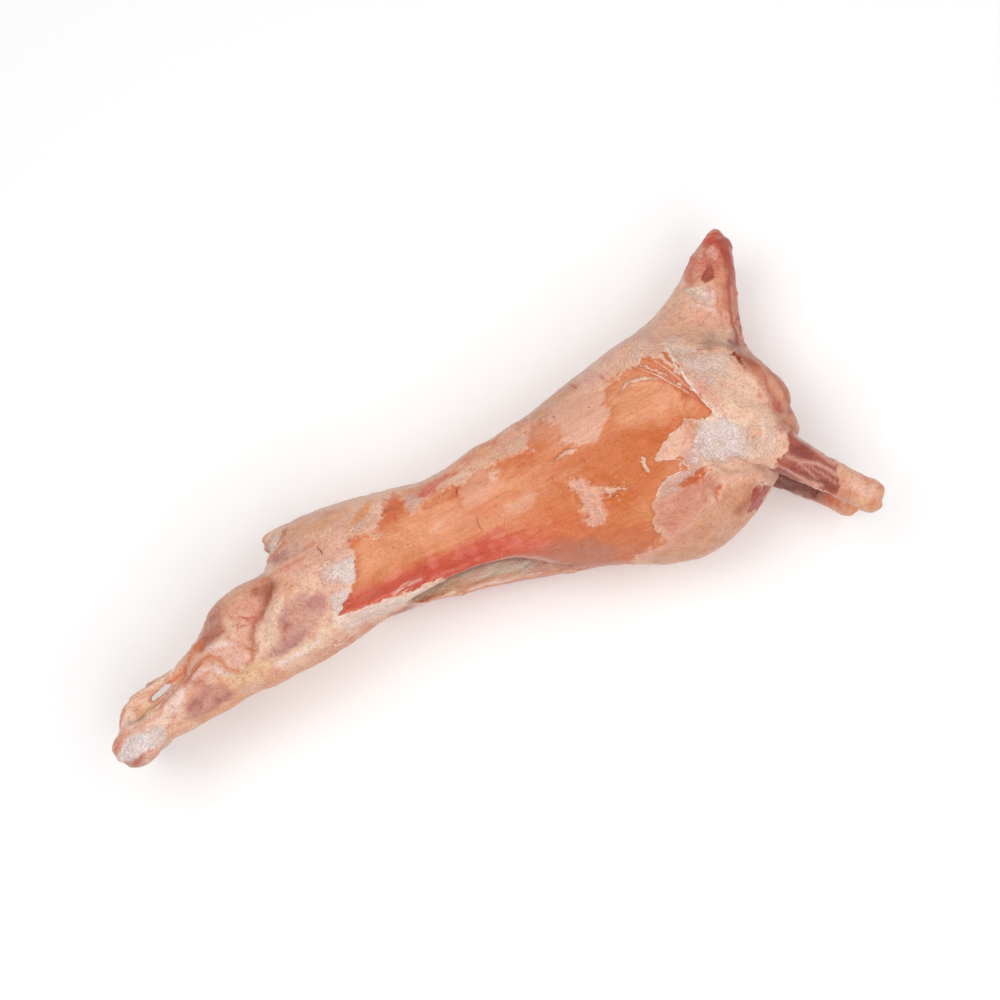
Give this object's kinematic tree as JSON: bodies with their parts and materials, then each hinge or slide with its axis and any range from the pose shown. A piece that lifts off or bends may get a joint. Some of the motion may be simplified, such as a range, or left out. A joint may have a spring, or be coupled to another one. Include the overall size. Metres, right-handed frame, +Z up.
{
  "type": "whole raw lamb carcass",
  "caption": "Whole skinned lamb carcass without head or feet, lying on its side, with an open belly and hook slits behind the hind shins.",
  "frame": {"origin": "on the surface the carcass lies on, under the middle of its bounding box", "axes": "+X along the body towards the neck, +Y across the body towards the spine, +Z up, out of the flank that is shown"},
  "size_m": [0.9382, 0.3998, 0.2031],
  "materials": {
    "raw_lamb": "moist raw flesh under pale fat, between satin and gloss"
  },
  "bodies": {
    "root": {"lamb_carcass": "raw_lamb"}
  },
  "joints": []
}
